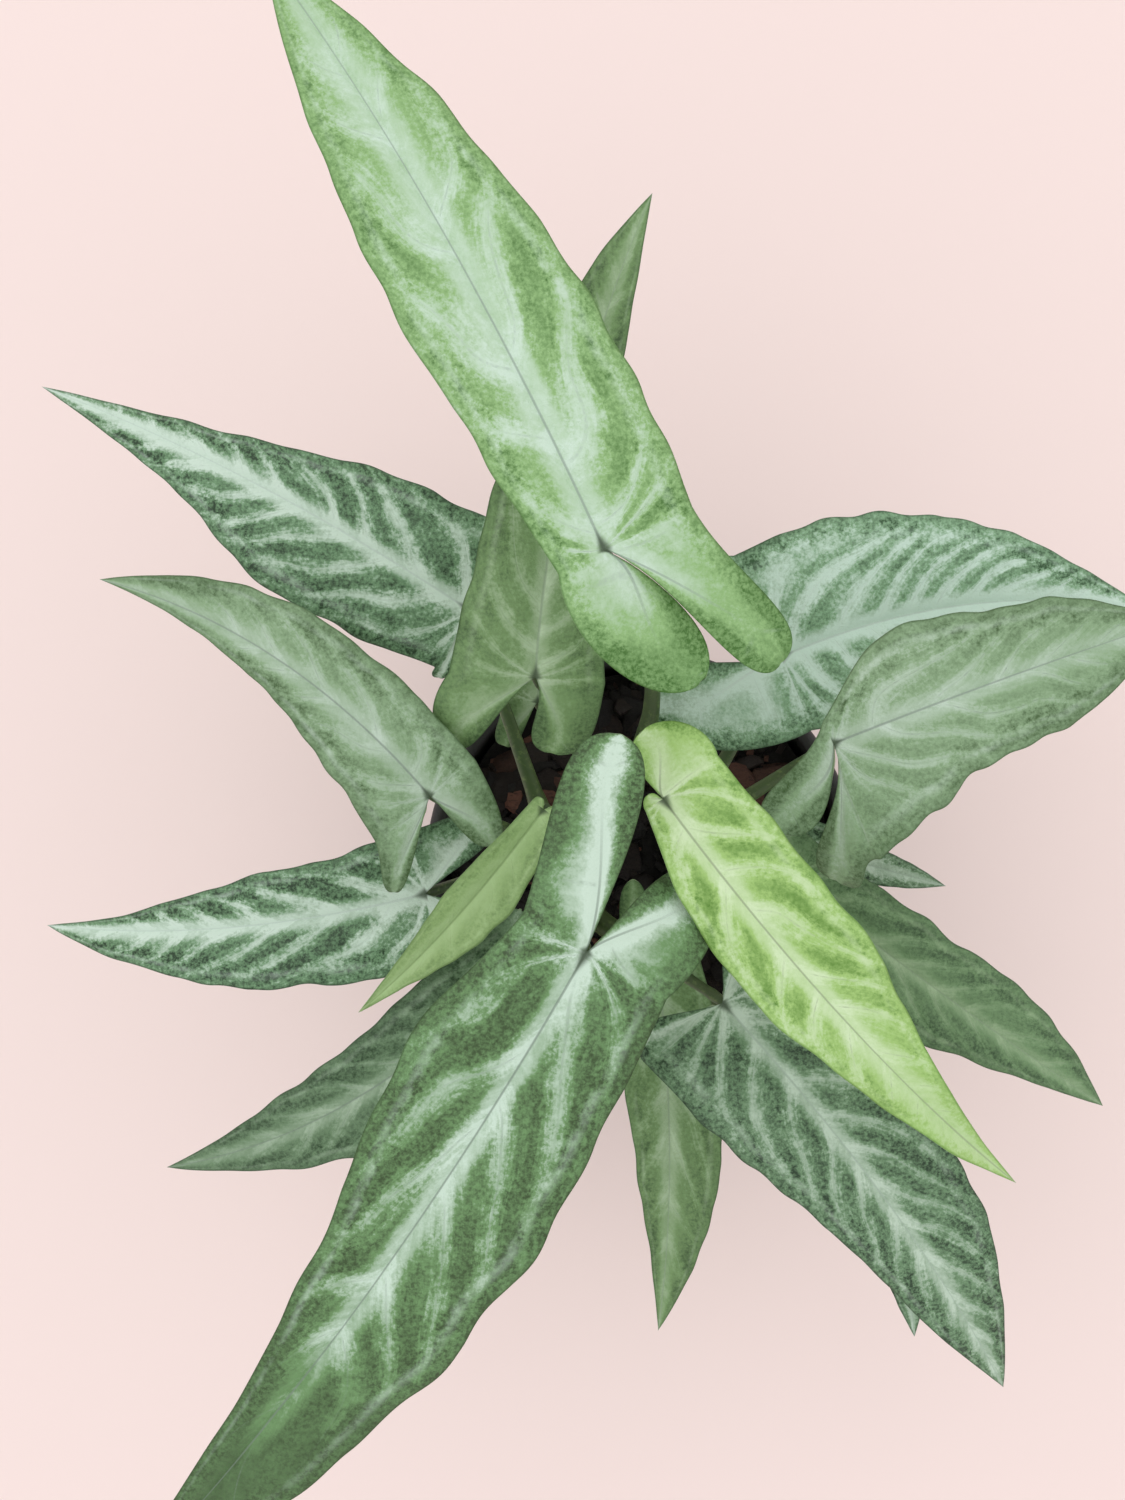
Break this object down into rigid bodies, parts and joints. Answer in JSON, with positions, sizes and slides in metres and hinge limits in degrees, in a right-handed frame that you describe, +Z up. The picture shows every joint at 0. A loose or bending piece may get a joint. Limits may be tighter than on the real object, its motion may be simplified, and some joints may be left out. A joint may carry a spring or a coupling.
{
  "type": "potted arrowhead plant",
  "caption": "Arrowhead plant with long spear-shaped, silver and green patterned leaves on upright stalks, standing in bark soil in a round tapered nursery pot.",
  "frame": {"origin": "centre of the pot's flat underside, on the surface it stands on", "axes": "+Z up along the pot's axis, +Y towards the longest upper leaf's side (the picture's top), +X to the picture's right"},
  "size_m": [0.2843, 0.3813, 0.2426],
  "materials": {
    "pot_plastic": "black, slightly grained moulded plastic",
    "bark_soil": "damp dark potting mix with bark chips",
    "stalk": "smooth, slightly waxy green leaf stalks",
    "leaf_light": "soft satin leaf, light yellow-green with a broad white midrib zone",
    "leaf_olive": "soft satin leaf, olive green with thin pale veins",
    "leaf_dark": "soft satin leaf, dark green with silvery white veins",
    "leaf_grey": "soft satin leaf, greyish green with pale veins",
    "leaf_new": "young smooth leaf, plain yellow-green",
    "leaf_strong": "soft satin leaf, green with a strong silvery white pattern",
    "leaf_bright": "soft satin leaf, bright yellow-green with a pale midrib zone"
  },
  "bodies": {
    "root": {"pot": "pot_plastic", "soil": "bark_soil", "shoot_north": "stalk", "shoot_west": "stalk", "shoot_south": "stalk", "shoot_east": "stalk", "leaf_north_top": "leaf_light", "leaf_north_under": "leaf_olive", "leaf_north_small": "leaf_olive", "leaf_west_high": "leaf_dark", "leaf_west_middle": "leaf_grey", "leaf_west_low": "leaf_dark", "leaf_west_new": "leaf_new", "leaf_southwest_low": "leaf_grey", "leaf_south_top": "leaf_strong", "leaf_centre_east": "leaf_bright", "leaf_east_high": "leaf_dark", "leaf_east_middle": "leaf_grey", "leaf_east_small": "leaf_dark", "leaf_southeast_low": "leaf_olive", "leaf_southeast_top": "leaf_dark", "leaf_south_low": "leaf_olive", "leaf_south_small": "leaf_dark"}
  },
  "joints": []
}
